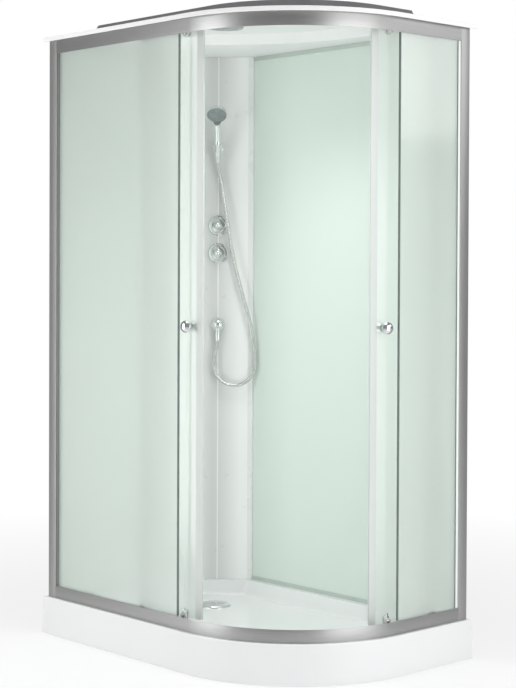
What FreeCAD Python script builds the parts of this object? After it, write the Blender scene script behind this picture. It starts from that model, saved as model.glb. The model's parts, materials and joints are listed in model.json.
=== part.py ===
import FreeCAD, Part
import math
import os
import Sketcher

# Quadrant shower enclosure, 1200 x 800 mm, +Z up, millimetres.
# The origin is on the floor under the centre of the tray's rectangle. The long wall is
# the plane Y = +tray_width/2, the short wall is X = -tray_length/2, and the rounded
# corner with the two sliding doors is at +X, -Y. "Inset" is always measured inward from
# the tray's outline and "along" is a distance from the wall that a side starts at.

SIZES = {
    # tray
    "tray_length": 1200,
    "tray_width": 800,
    "corner_radius": 460,
    "rim_height": 122.5,
    "ledge_height": 105,
    "floor_height": 57,
    "floor_underside": 50,
    "apron_draft": 6,
    "apron_wall": 6,
    "front_rim": 62,
    "basin_front": 72,
    "basin_wall": 44,
    "basin_slope": 24,
    "basin_corner": 36,
    "drain_along": 262,
    "drain_bore": 44,
    # supporting frame and feet
    "frame_bottom": 28,
    "frame_bar": 30,
    "foot_radius": 20,
    # walls and column
    "wall_face": 16,
    "wall_glass": 4,
    "column_leg": 187,
    "column_sheet": 3,
    "trim_width": 20,
    "channel_height": 14,
    # frame of the two glazed sides
    "rail_inset": 16,
    "rail_depth": 50,
    "bottom_rail_rise": 40.5,
    "top_rail_rise": 45.5,
    "frame_top": 1982.5,
    "profile_width": 40.5,
    "profile_inset": 10.5,
    "profile_crown": 2,
    "sheet_metal": 2.2,
    "slot_depth": 13,
    "rail_crown": 1.2,
    "cover_depth": 2.5,
    "web": 2,
    "bottom_track": 24.5,
    "top_track": 19.5,
    "fixed_inset": 6,
    "glass": 5,
    "left_fixed_reach": 681.5,
    "right_fixed_reach": 326,
    # doors
    "door_inset": 41,
    "door_bottom": 151,
    "door_top": 1952,
    "door_lead": 18.8,
    "door_trail": 34,
    "seal_lead": 21.4,
    "seal_lip": 18.3,
    "left_roller_middle": 589.5,
    "right_roller_middle": 251.2,
    "roller_spacing": 183,
    "wheel_line": 34,
    "wheel_radius": 11.5,
    "wheel_width": 8,
    "axle_radius": 3,
    "bottom_axle": 158.8,
    "top_axle": 1944.7,
    "bottom_bracket_drop": 9,
    "top_bracket_drop": 4,
    "bracket_radius": 11,
    "knob_angle": 14.7,
    "knob_height": 1047,
    "knob_radius": 18.3,
    # roof
    "roof_flange": 9.5,
    "roof_lip": 4.5,
    "roof_lip_width": 8,
    "dome_inset": 87,
    "dome_rise": 33.5,
    "dome_crown": 8,
    "dome_back_along_length": 806,
    "dome_back_along_width": 758,
    "dome_back_radius": 653,
    "vent_radius": 59,
    "vent_along_length": 503,
    "vent_along_width": 433,
    # fittings on the column
    "fitting_line": -7,
    "upper_control": 1378,
    "lower_control": 1279,
    "control_radius": 36,
    "outlet_height": 1022,
    "outlet_radius": 25.5,
    "holder_height": 1655,
    "holder_reach": 46,
    "handset_tilt": 18,
    "head_radius": 37,
    "head_turn": 30,
    "hose_radius": 6.5,
}

doc = FreeCAD.newDocument("quadrant_shower_enclosure")
sheet = doc.addObject("Spreadsheet::Sheet", "Sizes")
for row, (alias, number) in enumerate(SIZES.items(), start=1):
    sheet.set(f"A{row}", alias.replace("_", " "))
    sheet.set(f"B{row}", str(number))
    sheet.setAlias(f"B{row}", alias)
doc.recompute()

NODES = []


class Size:
    """A number together with the sheet expression that gives it."""

    def __init__(self, number, text=None):
        self.number = float(number)
        self.text = text if text else f"({number})"

    def __add__(self, other):
        other = size(other)
        return Size(self.number + other.number, f"({self.text} + {other.text})")

    def __sub__(self, other):
        other = size(other)
        return Size(self.number - other.number, f"({self.text} - {other.text})")

    def __mul__(self, other):
        other = size(other)
        return Size(self.number * other.number, f"({self.text} * {other.text})")

    def __truediv__(self, other):
        other = size(other)
        return Size(self.number / other.number, f"({self.text} / {other.text})")

    def __radd__(self, other):
        return size(other) + self

    def __rsub__(self, other):
        return size(other) - self

    def __rmul__(self, other):
        return size(other) * self

    def __neg__(self):
        return Size(0) - self


def size(value):
    return value if isinstance(value, Size) else Size(value)


def cell(alias):
    """The size kept in the sheet under this alias."""
    return Size(SIZES[alias], f"Sizes.{alias}")


def root(value):
    return Size(math.sqrt(value.number), f"sqrt({value.text})")


def cosine(degrees):
    degrees = size(degrees)
    return Size(math.cos(math.radians(degrees.number)), f"cos({degrees.text})")


def sine(degrees):
    degrees = size(degrees)
    return Size(math.sin(math.radians(degrees.number)), f"sin({degrees.text})")


def bind(item, prop, value):
    item.setExpression(prop, size(value).text)


def bind_place(item, x, y, z, rotation=None):
    """Puts an item at a point of the sheet, with a fixed rotation."""
    x, y, z = size(x), size(y), size(z)
    spin = rotation or FreeCAD.Rotation()
    item.Placement = FreeCAD.Placement(FreeCAD.Vector(x.number, y.number, z.number), spin)
    bind(item, "Placement.Base.x", x)
    bind(item, "Placement.Base.y", y)
    bind(item, "Placement.Base.z", z)


def keep(item, label):
    """Names an item and lists it as one of the enclosure's pieces."""
    item.Label = label
    NODES.append(item)
    return item


# ---------------------------------------------------------------- sketches and features

def new_body(label):
    body = doc.addObject("PartDesign::Body", label)
    body.Label = label
    return body


def new_sketch(body, role="XY_Plane", height=0, across=0, up=0, turn=0):
    """A sketch on one of the body's origin planes, moved off it by height."""
    plane = next(f for f in body.Origin.OriginFeatures if f.Role == role)
    sketch = body.newObject("Sketcher::SketchObject", f"{body.Name}_sketch")
    sketch.AttachmentSupport = [(plane, "")]
    sketch.MapMode = "FlatFace"
    offset = FreeCAD.Placement()
    offset.Rotation = FreeCAD.Rotation(FreeCAD.Vector(0, 0, 1), turn)
    sketch.AttachmentOffset = offset
    bind(sketch, "AttachmentOffset.Base.x", across)
    bind(sketch, "AttachmentOffset.Base.y", up)
    bind(sketch, "AttachmentOffset.Base.z", height)
    return sketch


def draw(sketch, corners, arcs=None):
    """Draws a closed outline. arcs gives, for the side that leaves corner number i,
    its centre, its radius and whether it runs anticlockwise."""
    arcs = arcs or {}
    corners = [(size(x), size(y)) for x, y in corners]
    points = [FreeCAD.Vector(x.number, y.number, 0) for x, y in corners]
    first = sketch.GeometryCount
    count = len(points)
    ends = []
    for i, start in enumerate(points):
        end = points[(i + 1) % count]
        if i not in arcs:
            sketch.addGeometry(Part.LineSegment(start, end), False)
            ends.append((1, 2))
            continue
        centre_x, centre_y, radius, anticlockwise = arcs[i]
        centre = FreeCAD.Vector(size(centre_x).number, size(centre_y).number, 0)
        low, high = (start, end) if anticlockwise else (end, start)
        low_angle = math.atan2(low.y - centre.y, low.x - centre.x)
        high_angle = math.atan2(high.y - centre.y, high.x - centre.x)
        circle = Part.Circle(centre, FreeCAD.Vector(0, 0, 1), size(radius).number)
        sketch.addGeometry(Part.ArcOfCircle(circle, low_angle, high_angle), False)
        ends.append((1, 2) if anticlockwise else (2, 1))
    for i in range(count):
        after = (i + 1) % count
        joint = Sketcher.Constraint("Coincident", first + i, ends[i][1], first + after, ends[after][0])
        sketch.addConstraint(joint)
    for i, (x, y) in enumerate(corners):
        at_corner = (-1, 1, first + i, ends[i][0])
        number = sketch.addConstraint(Sketcher.Constraint("DistanceX", *at_corner, x.number))
        bind(sketch, f"Constraints[{number}]", x)
        number = sketch.addConstraint(Sketcher.Constraint("DistanceY", *at_corner, y.number))
        bind(sketch, f"Constraints[{number}]", y)
    for i, (_, _, radius, _) in arcs.items():
        rule = Sketcher.Constraint("Radius", first + i, size(radius).number)
        bind(sketch, f"Constraints[{sketch.addConstraint(rule)}]", radius)


def draw_circle(sketch, x, y, radius):
    x, y, radius = size(x), size(y), size(radius)
    circle = Part.Circle(FreeCAD.Vector(x.number, y.number, 0), FreeCAD.Vector(0, 0, 1), radius.number)
    shape = sketch.addGeometry(circle, False)
    rules = [
        ("DistanceX", (-1, 1, shape, 3), x),
        ("DistanceY", (-1, 1, shape, 3), y),
        ("Radius", (shape,), radius),
    ]
    for kind, where, value in rules:
        number = sketch.addConstraint(Sketcher.Constraint(kind, *where, value.number))
        bind(sketch, f"Constraints[{number}]", value)


def pad(body, sketch, length, backward=False):
    feature = body.newObject("PartDesign::Pad", f"{body.Name}_pad")
    feature.Profile = sketch
    feature.Reversed = backward
    bind(feature, "Length", length)
    return feature


def pocket(body, sketch, depth, upward=False, both=False):
    """Cuts down from the sketch, or up from it, and stops the build if nothing is cut."""
    doc.recompute()
    before = body.Shape.Volume
    feature = body.newObject("PartDesign::Pocket", f"{body.Name}_pocket")
    feature.Profile = sketch
    feature.Reversed = upward
    feature.Midplane = both
    bind(feature, "Length", depth)
    doc.recompute()
    if body.Shape.Volume > before - 0.5:
        raise RuntimeError(f"a pocket of {body.Label} cuts nothing")
    return feature


def revolve(body, sketch, axis):
    feature = body.newObject("PartDesign::Revolution", f"{body.Name}_turned")
    feature.Profile = sketch
    feature.ReferenceAxis = (sketch, [axis])
    feature.Angle = 360
    return feature


def loft(body, lower, upper, subtract=False):
    kind = "PartDesign::SubtractiveLoft" if subtract else "PartDesign::AdditiveLoft"
    feature = body.newObject(kind, f"{body.Name}_loft")
    feature.Profile = lower
    feature.Sections = [upper]
    feature.Ruled = True
    return feature


def round_edges(body, radius, chosen):
    """Rounds the edges of the body's last feature that the test picks."""
    doc.recompute()
    before = body.Tip
    names = [f"Edge{i}" for i, edge in enumerate(before.Shape.Edges, start=1) if chosen(edge)]
    fillet = body.newObject("PartDesign::Fillet", f"{body.Name}_fillet")
    fillet.Base = (before, names)
    bind(fillet, "Radius", radius)
    doc.recompute()
    return fillet


def prism(label, corners, bottom, top, arcs=None):
    """A body of one outline in plan between two heights."""
    body = new_body(label)
    sketch = new_sketch(body, height=bottom)
    draw(sketch, corners, arcs)
    pad(body, sketch, size(top) - bottom)
    return body


def turned(label, corners, arcs=None, role="XY_Plane", axis="H_Axis"):
    """A body turned about the sketch's own horizontal or vertical axis."""
    body = new_body(label)
    sketch = new_sketch(body, role)
    draw(sketch, corners, arcs)
    revolve(body, sketch, axis)
    return body


def dome_arc(start, radius, tip):
    """Arc, centred on the axis, from a rim of this radius to the tip of a dome."""
    centre = (tip * tip - start * start - radius * radius) / (2 * (tip - start))
    return centre, 0, tip - centre, False


def group(label, items):
    """Several like solids that count as one piece of the enclosure."""
    compound = doc.addObject("Part::Compound", label)
    compound.Links = items
    return keep(compound, label)


Z_AXIS = FreeCAD.Vector(0, 0, 1)
Y_AXIS = FreeCAD.Vector(0, 1, 0)

length = cell("tray_length")
width = cell("tray_width")
corner = cell("corner_radius")
rim = cell("rim_height")
ledge = cell("ledge_height")
frame_top = cell("frame_top")
arc_x = length / 2 - corner
arc_y = corner - width / 2


def on_left_side(along, inset):
    """A point of the straight side that leaves the short wall."""
    return along - length / 2, inset - width / 2


def on_right_side(along, inset):
    """A point of the straight side that leaves the long wall."""
    return length / 2 - inset, width / 2 - along


def quadrant(sketch, front, wall=0, cut_corner=None):
    """The tray's outline, moved in by one distance at the front and another at the walls.
    cut_corner is the distance from each wall at which a chamfer takes off the back corner."""
    left = wall - length / 2
    back = width / 2 - wall
    corners = [
        (left, front - width / 2),
        (arc_x, front - width / 2),
        (length / 2 - front, arc_y),
        (length / 2 - front, back),
    ]
    if cut_corner is None:
        corners.append((left, back))
    else:
        corners.append((cut_corner - length / 2, back))
        corners.append((left, width / 2 - cut_corner))
    draw(sketch, corners, {1: (arc_x, arc_y, corner - front, True)})


# ------------------------------------------------------------------------------- tray

def make_tray():
    """Shallow tray with an apron: a rim under the glazed sides, a lower ledge under the
    walls and the corner column, a sloping basin and a hollow underside."""
    body = new_body("tray")
    bottom = new_sketch(body)
    quadrant(bottom, 0)
    top = new_sketch(body, height=rim)
    quadrant(top, cell("apron_draft"))
    loft(body, bottom, top)

    ledge_cut = new_sketch(body, height=rim)
    beyond = 10
    quadrant(ledge_cut, cell("front_rim"), -beyond)
    pocket(body, ledge_cut, rim - ledge)

    # The chamfered back corner of the basin stays clear of the column's foot.
    front, wall = cell("basin_front"), cell("basin_wall")
    slope = cell("basin_slope")
    column_line = cell("column_leg") + cell("wall_face") + cell("basin_corner")
    lip = new_sketch(body, height=ledge)
    quadrant(lip, front, wall, column_line - wall)
    base = new_sketch(body, height=cell("floor_height"))
    quadrant(base, front + slope, wall + slope, column_line - wall)
    loft(body, lip, base, subtract=True)

    skirt = cell("apron_wall")
    floor_underside = cell("floor_underside")
    under_floor = new_sketch(body)
    quadrant(under_floor, skirt, skirt)
    pocket(body, under_floor, floor_underside, upward=True)
    around = new_sketch(body, height=floor_underside)
    quadrant(around, skirt + 5, skirt)
    quadrant(around, front - skirt, wall - skirt, column_line - wall - skirt)
    pocket(body, around, ledge - skirt - floor_underside, upward=True)

    drain = new_sketch(body, height=rim)
    draw_circle(drain, drain_x, drain_y, cell("drain_bore"))
    pocket(body, drain, rim)

    def is_basin_side(edge):
        low, high = edge.BoundBox.ZMin, edge.BoundBox.ZMax
        return abs(low - SIZES["floor_height"]) < 0.1 and abs(high - SIZES["ledge_height"]) < 0.1

    round_edges(body, 22, is_basin_side)

    def is_floor_edge(edge):
        box = edge.BoundBox
        flat = box.ZMax - box.ZMin < 0.01 and abs(box.ZMin - SIZES["floor_height"]) < 0.01
        return flat and not is_drain_edge(edge)

    def is_drain_edge(edge):
        return isinstance(edge.Curve, Part.Circle) and edge.Curve.Radius < 50 and edge.Length > 200

    round_edges(body, 14, is_floor_edge)

    def is_rim_edge(edge):
        box = edge.BoundBox
        return abs(box.ZMin - SIZES["rim_height"]) < 0.01 and box.ZMax - box.ZMin < 0.01

    round_edges(body, 3, is_rim_edge)
    keep(body, "tray")


drain_x = cell("drain_along") - length / 2
drain_y = width / 2 - cell("drain_along")


def make_support():
    """Welded ladder frame under the basin, on six levelling feet."""
    low = cell("frame_bottom")
    bar = cell("frame_bar")
    left, right, side, middle = -480, 330, 300, -75
    body = new_body("support_frame")
    sketch = new_sketch(body, height=low)
    draw(sketch, [(left, -side), (right, -side), (right, side), (left, side)])
    for start, end in ((left, middle), (middle, right)):
        x0 = start + bar / (1 if start == left else 2)
        x1 = end - bar / (1 if end == right else 2)
        draw(sketch, [(x0, bar - side), (x1, bar - side), (x1, side - bar), (x0, side - bar)])
    pad(body, sketch, cell("floor_underside") - low)
    keep(body, "support_frame")

    feet = []
    for x in (left + bar / 2, middle, right - bar / 2):
        for y in (bar / 2 - side, side - bar / 2):
            foot = cell("foot_radius")
            outline = [(0, 0), (foot, 0), (foot, 5), (foot - 8, 10), (6, 10), (6, 20)]
            outline += [(11, 20), (11, low), (0, low)]
            item = turned(f"foot_{len(feet) + 1}", outline, role="XZ_Plane", axis="V_Axis")
            bind_place(item, x, y, 0)
            feet.append(item)
    group("levelling_feet", feet)


def make_waste():
    """Low trap under the drain, its flange in the basin floor and the lift-out cover."""
    floor = cell("floor_height")
    bore = cell("drain_bore")
    bowl = [(0, 4), (52, 4), (55, 8), (55, 47), (43, 49.7), (43, 56), (0, 56)]
    trap = turned("waste_trap", bowl, role="XZ_Plane", axis="V_Axis")
    bind_place(trap, drain_x, drain_y, 0)
    spigot = new_sketch(trap, "XZ_Plane", height=-30)
    draw_circle(spigot, 0, 25.5, 20)
    pad(trap, spigot, 82, backward=True)
    chamber = new_sketch(trap, "XZ_Plane")
    draw(chamber, [(0, 8), (50, 8), (50, 43), (39, 46), (39, 57), (0, 57)])
    hollow = trap.newObject("PartDesign::Groove", "trap_chamber")
    hollow.Profile = chamber
    hollow.ReferenceAxis = (chamber, ["V_Axis"])
    hollow.Angle = 360
    spigot_bore = new_sketch(trap, "XZ_Plane", height=-112)
    draw_circle(spigot_bore, 0, 25.5, 17)
    pocket(trap, spigot_bore, 80, upward=True)
    keep(trap, "waste_trap")

    flange = turned(
        "waste_flange",
        [(38.5, 46.5), (38.5, floor + 1), (34, floor + 1), (34, floor + 2), (56, floor + 2),
         (58, floor + 0.6), (58, floor), (38.7, floor), (38.7, 46.5)],
        role="XZ_Plane", axis="V_Axis",
    )
    bind_place(flange, drain_x, drain_y, 0)
    keep(flange, "waste_flange")

    cover = turned(
        "drain_cover",
        [(0, floor + 9), (0, floor + 12), (40, floor + 10), (52, floor + 6), (54, floor + 3.5),
         (54, floor + 2.3), (50, floor + 2.3), (48, floor + 5), (30, floor + 7.5), (30, floor - 8),
         (27, floor - 8), (27, floor + 8)],
        role="XZ_Plane", axis="V_Axis",
    )
    slots = new_sketch(cover, "XZ_Plane")
    draw(slots, [(-5, floor - 4), (5, floor - 4), (5, floor + 4), (-5, floor + 4)])
    notch = pocket(cover, slots, 70, both=True)
    ring = cover.newObject("PartDesign::PolarPattern", "cover_slots")
    ring.Originals = [notch]
    vertical = next(f for f in cover.Origin.OriginFeatures if f.Role == "Z_Axis")
    ring.Axis = (vertical, [""])
    ring.Angle = 360
    ring.Occurrences = 4
    cover.Tip = ring
    bind_place(cover, drain_x, drain_y, 0)
    keep(cover, "drain_cover")


# ------------------------------------------------------------------- walls and column

def make_walls():
    """Two glass wall panels, each held in a channel at its foot and another at its head."""
    face = cell("wall_face")
    thick = cell("wall_glass")
    start = cell("column_leg") + 0.4
    far = cell("rail_inset") + cell("rail_depth") + 0.3
    low = ledge + 4
    high = frame_top - 4.5
    x0, x1 = start - length / 2, length / 2 - far
    long_wall = [(x0, width / 2 - face), (x1, width / 2 - face)]
    long_wall += [(x1, width / 2 - face + thick), (x0, width / 2 - face + thick)]
    keep(prism("long_wall_glass", long_wall, low, high), "long_wall_glass")
    y0, y1 = far - width / 2, width / 2 - start
    left = face - length / 2
    short_wall = [(left - thick, y0), (left, y0), (left, y1), (left - thick, y1)]
    keep(prism("short_wall_glass", short_wall, low, high), "short_wall_glass")

    rise = cell("channel_height")
    lip = 2.5
    head = frame_top - rise - 0.5
    for name, base, floor_at in (("sill_channels", ledge, 3.7), ("head_channels", head, None)):
        items = []
        depth = rise - 3.7
        for wall in ("long", "short"):
            body = new_body(f"{wall}_{name}")
            role = "YZ_Plane" if wall == "long" else "XZ_Plane"
            near = width / 2 - face - lip if wall == "long" else left + lip
            back = width / 2 - face + thick + lip if wall == "long" else left - thick - lip
            slot_near = width / 2 - face - 0.2 if wall == "long" else left + 0.2
            slot_back = width / 2 - face + thick + 0.2 if wall == "long" else left - thick - 0.2
            begin = x0 if wall == "long" else -y1
            sketch = new_sketch(body, role, height=begin)
            if floor_at:
                draw(sketch, [(near, base), (back, base), (back, base + rise), (slot_back, base + rise),
                              (slot_back, base + rise - depth), (slot_near, base + rise - depth),
                              (slot_near, base + rise), (near, base + rise)])
            else:
                deep = base + depth
                draw(sketch, [(near, base), (slot_near, base), (slot_near, deep), (slot_back, deep),
                              (slot_back, base), (back, base), (back, base + rise), (near, base + rise)])
            pad(body, sketch, (x1 - x0) if wall == "long" else (y1 - y0))
            items.append(body)
        group(name, items)


column_middle = (cell("column_leg") + cell("wall_face")) / 2
column_x = column_middle - length / 2
column_y = width / 2 - column_middle
column_half = (cell("column_leg") - cell("wall_face")) * root(Size(0.5))
column_turn = FreeCAD.Rotation(Z_AXIS, -45)


def on_column(item, out=0, up=0, along=0, rotation=None):
    """Places an item on the column's face: local X points out of it and local Y along it."""
    half = root(Size(0.5))
    spin = column_turn.multiply(rotation) if rotation else column_turn
    bind_place(item, column_x + half * (out + size(along)), column_y + half * (along - size(out)), up, spin)


def make_column():
    """Flat corner panel with a raised centre bead, between two rounded edge trims that
    also hold the upright edges of the wall glass."""
    sheet_metal = cell("column_sheet")
    edge = column_half - cell("trim_width") - 0.7
    bead = cell("fitting_line")
    panel = prism(
        "column_panel",
        [(-sheet_metal, -edge), (0, -edge), (0, bead - 1.5), (1.2, bead - 1.5), (1.2, bead + 1.5),
         (0, bead + 1.5), (0, edge), (-sheet_metal, edge)],
        ledge + 0.3, frame_top - 0.5,
    )
    holes = new_sketch(panel, "YZ_Plane", height=5)
    draw_circle(holes, bead, cell("upper_control"), 18)
    draw_circle(holes, bead, cell("lower_control"), 18)
    draw_circle(holes, bead, cell("outlet_height"), 11)
    draw_circle(holes, bead, cell("holder_height"), 5)
    pocket(panel, holes, 12)
    on_column(panel)
    keep(panel, "column_panel")

    inner = column_half - cell("trim_width") - 0.4
    outline = [(-3, inner), (2, inner), (2, column_half - 4), (-0.6, column_half - 0.6),
               (-10.5, column_half + 9.3), (-18, column_half + 1.8), (-3, column_half - 13.2)]
    for side, sign in (("left", -1), ("right", 1)):
        corners = [(x, y * sign) for x, y in outline]
        trim = prism(f"column_trim_{side}", corners, ledge + 0.3, frame_top - 0.5)

        def is_front_edge(edge):
            upright = edge.BoundBox.ZMax - edge.BoundBox.ZMin > 1000
            return upright and abs(edge.BoundBox.XMin - 2) < 0.01

        round_edges(trim, 1.5, is_front_edge)
        on_column(trim)
        keep(trim, f"column_trim_{side}")


# ------------------------------------------------------------------- rails and frame

def make_rail(label, base, outline):
    """Bent extrusion: one section swept along straight, quarter circle, straight."""
    inset = cell("rail_inset")
    start = cell("profile_inset") + cell("profile_width") + 0.3
    body = new_body(label)
    path = new_sketch(body)
    x0, y0 = start - length / 2, inset - width / 2
    x1, y1 = length / 2 - inset, width / 2 - start
    radius = corner - inset
    points = [(x0, y0), (arc_x, y0), (x1, arc_y), (x1, y1)]
    vectors = [FreeCAD.Vector(size(x).number, size(y).number, 0) for x, y in points]
    path.addGeometry(Part.LineSegment(vectors[0], vectors[1]), False)
    circle = Part.Circle(FreeCAD.Vector(arc_x.number, arc_y.number, 0), Z_AXIS, radius.number)
    path.addGeometry(Part.ArcOfCircle(circle, -math.pi / 2, 0), False)
    path.addGeometry(Part.LineSegment(vectors[2], vectors[3]), False)
    path.addConstraint(Sketcher.Constraint("Coincident", 0, 2, 1, 1))
    path.addConstraint(Sketcher.Constraint("Coincident", 1, 2, 2, 1))
    for (geometry, end), (x, y) in zip(((0, 1), (0, 2), (2, 1), (2, 2)), points):
        for kind, value in (("DistanceX", x), ("DistanceY", y)):
            rule = Sketcher.Constraint(kind, -1, 1, geometry, end, size(value).number)
            bind(path, f"Constraints[{path.addConstraint(rule)}]", value)
    rule = Sketcher.Constraint("Radius", 1, radius.number)
    bind(path, f"Constraints[{path.addConstraint(rule)}]", radius)

    section = new_sketch(body, "YZ_Plane", height=x0)
    corners = [(y0 + u, base + z) for u, z in outline]
    draw(section, corners)
    pipe = body.newObject("PartDesign::AdditivePipe", f"{body.Name}_bend")
    pipe.Profile = section
    doc.recompute()
    pipe.Spine = (path, [f"Edge{i}" for i in (1, 2, 3)])
    keep(body, label)


def cover_outline(rise):
    """Section of a rail's cover strip, whose front is crowned in six narrow flats."""
    crown = cell("rail_crown")
    back = cell("cover_depth")
    flats = 6
    front = [(crown * (1 - 2 * i / flats) ** 2, rise * i / flats) for i in range(flats, -1, -1)]
    return [(back, 0), (back, rise), *front]


def make_rails():
    """Each rail has a glass slot at the front and a flat track for the wheels behind it.
    A slightly crowned cover is clipped on the front of it."""
    depth = cell("rail_depth")
    slot = cell("slot_depth")
    web = cell("web")
    metal = cell("sheet_metal")
    face = cell("cover_depth") + 0.1
    rise = cell("bottom_rail_rise")
    track = cell("bottom_track")
    make_rail("bottom_rail", rim, [
        (face, 0), (slot + web, 0), (slot + web, track - web), (depth - web, track - web), (depth - web, 0),
        (depth, 0), (depth, track), (slot, track), (slot, metal), (face, metal)])
    make_rail("bottom_rail_cover", rim, cover_outline(rise))
    rise = cell("top_rail_rise")
    track = cell("top_track")
    low = frame_top - rise
    make_rail("top_rail", low, [
        (face, rise - metal), (slot, rise - metal), (slot, track), (depth, track), (depth, rise),
        (depth - web, rise), (depth - web, track + web), (slot + web, track + web), (slot + web, rise),
        (face, rise)])
    make_rail("top_rail_cover", low, cover_outline(rise))


def make_wall_profile(label, place):
    """Upright wall profile: a web on the wall side with a crowned outer flange and a rib
    that makes the glass slot."""
    a0 = cell("profile_inset")
    a1 = a0 + cell("profile_width")
    inner = a0 + 2.5
    metal = cell("sheet_metal")
    slot = cell("slot_depth")
    rib = slot + cell("web")
    depth = cell("rail_depth")
    inset = cell("rail_inset")
    crown = cell("profile_crown")
    half = (a1 - a0) / 2
    bulge = (half * half + crown * crown) / (2 * crown)
    section = [(a0, crown), (a1, crown), (a1, crown + metal), (inner, crown + metal), (inner, slot),
               (a1, slot), (a1, rib), (inner, rib), (inner, depth), (a0, depth)]
    arcs = {0: (*place(a0 + half, inset + bulge), bulge, place is on_left_side)}
    body = prism(label, [place(a, inset + u) for a, u in section], rim, frame_top, arcs)
    corner_x, corner_y = place(a0, inset + crown)
    far_x, far_y = place(a1, inset + crown)

    def is_outer_edge(edge):
        box = edge.BoundBox
        if box.ZMax - box.ZMin < 1000:
            return False
        ends = ((corner_x, corner_y), (far_x, far_y))
        return any(abs(box.XMin - x.number) < 0.01 and abs(box.YMin - y.number) < 0.01 for x, y in ends)

    round_edges(body, 1, is_outer_edge)
    keep(body, label)


def side_strip(label, place, near, far, outer, inner, bottom, top):
    corners = [place(near, outer), place(far, outer), place(far, inner), place(near, inner)]
    return prism(label, corners, bottom, top)


def make_fixed_sides():
    """Flat fixed glass on both straight sides, with its gaskets, a dark line along the
    wall profile and the seal on the edge that the door slides past."""
    inset = cell("rail_inset")
    outer = inset + cell("fixed_inset")
    inner = outer + cell("glass")
    low = rim + cell("sheet_metal") + 0.3
    high = frame_top - 4.5
    clear_low = rim + cell("bottom_rail_rise") + 0.3
    clear_high = frame_top - cell("top_rail_rise") - 0.3
    mouth = cell("profile_inset") + cell("profile_width")
    gaskets = []
    seals = []
    sides = (
        ("left", on_left_side, cell("left_fixed_reach")),
        ("right", on_right_side, cell("right_fixed_reach")),
    )
    for name, place, reach in sides:
        make_wall_profile(f"{name}_wall_profile", place)
        glass = side_strip(f"{name}_fixed_glass", place, size(16), reach, outer, inner, low, high)
        keep(glass, f"{name}_fixed_glass")
        slot = inset + cell("profile_crown") + cell("sheet_metal")
        gaskets.append(side_strip(f"{name}_gasket_out", place, mouth - 10, mouth + 10, slot + 0.3,
                                  outer - 0.1, clear_low, clear_high))
        seals.append(side_strip(f"{name}_wall_line", place, mouth + 10.3, mouth + 13.3, slot + 0.5,
                                outer - 0.1, clear_low, clear_high))
        gaskets.append(side_strip(f"{name}_gasket_in", place, mouth - 10, mouth + 4, inner + 0.1,
                                  inset + cell("slot_depth") - 0.1, clear_low, clear_high))
        lip_out, lip_in = outer - 0.8, inner + 0.8
        seal = [(reach - 1.8, lip_out), (reach + 1.2, lip_out), (reach + 1.2, lip_in), (reach - 1.8, lip_in),
                (reach - 1.8, inner + 0.1), (reach + 0.2, inner + 0.1), (reach + 0.2, outer - 0.1),
                (reach - 1.8, outer - 0.1)]
        seals.append(prism(f"{name}_edge_seal", [place(a, u) for a, u in seal], clear_low, clear_high))
    group("glazing_gaskets", gaskets)
    group("fixed_edge_seals", seals)


# ------------------------------------------------------------------------------ doors

front_radius = corner - cell("rail_inset")
wheel_circle = front_radius - cell("wheel_line")
half_chord = cell("roller_spacing") / 2
roller_cosine = root(wheel_circle * wheel_circle - half_chord * half_chord) / wheel_circle
roller_sine = half_chord / wheel_circle
glass_outer = front_radius - cell("door_inset")
glass_inner = glass_outer - cell("glass")


class Door:
    """One curved sliding door in its open place. Its local frame has its origin at the
    centre of the door's curve and X out through the middle of its rollers; the leading
    edge lies at +Y on the left door and at -Y on the right one."""

    def __init__(self, name, lead, x, y, turn):
        self.name = name
        self.lead = lead
        self.x = x
        self.y = y
        self.turn = turn

    def direction(self, cosine_value, sine_value):
        """Outward direction at an angle towards the leading edge, in the whole frame."""
        if self.turn:
            return sine_value, -cosine_value
        return cosine_value, -sine_value

    def place(self, item, cosine_value=1, sine_value=0, radius=0, height=0):
        out_x, out_y = self.direction(size(cosine_value), size(sine_value))
        angle = math.degrees(math.atan2(out_y.number, out_x.number))
        rotation = FreeCAD.Rotation(Z_AXIS, angle)
        bind_place(item, self.x + radius * out_x, self.y + radius * out_y, height, rotation)

    def band(self, sketch, inner, outer, near, far):
        """Part of a ring between two angles, counted towards the leading edge."""
        low, high = (near, far) if self.lead > 0 else (-size(far), -size(near))
        corners = [(inner * cosine(low), inner * sine(low)), (outer * cosine(low), outer * sine(low)),
                   (outer * cosine(high), outer * sine(high)), (inner * cosine(high), inner * sine(high))]
        draw(sketch, corners, {1: (0, 0, outer, True), 3: (0, 0, inner, False)})


wheel_offset = wheel_circle * roller_cosine
left_door = Door("left", 1, cell("left_roller_middle") - length / 2,
                 cell("rail_inset") + cell("wheel_line") - width / 2 + wheel_offset, -90)
right_door = Door("right", -1, length / 2 - cell("rail_inset") - cell("wheel_line") - wheel_offset,
                  width / 2 - cell("right_roller_middle"), 0)


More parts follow.
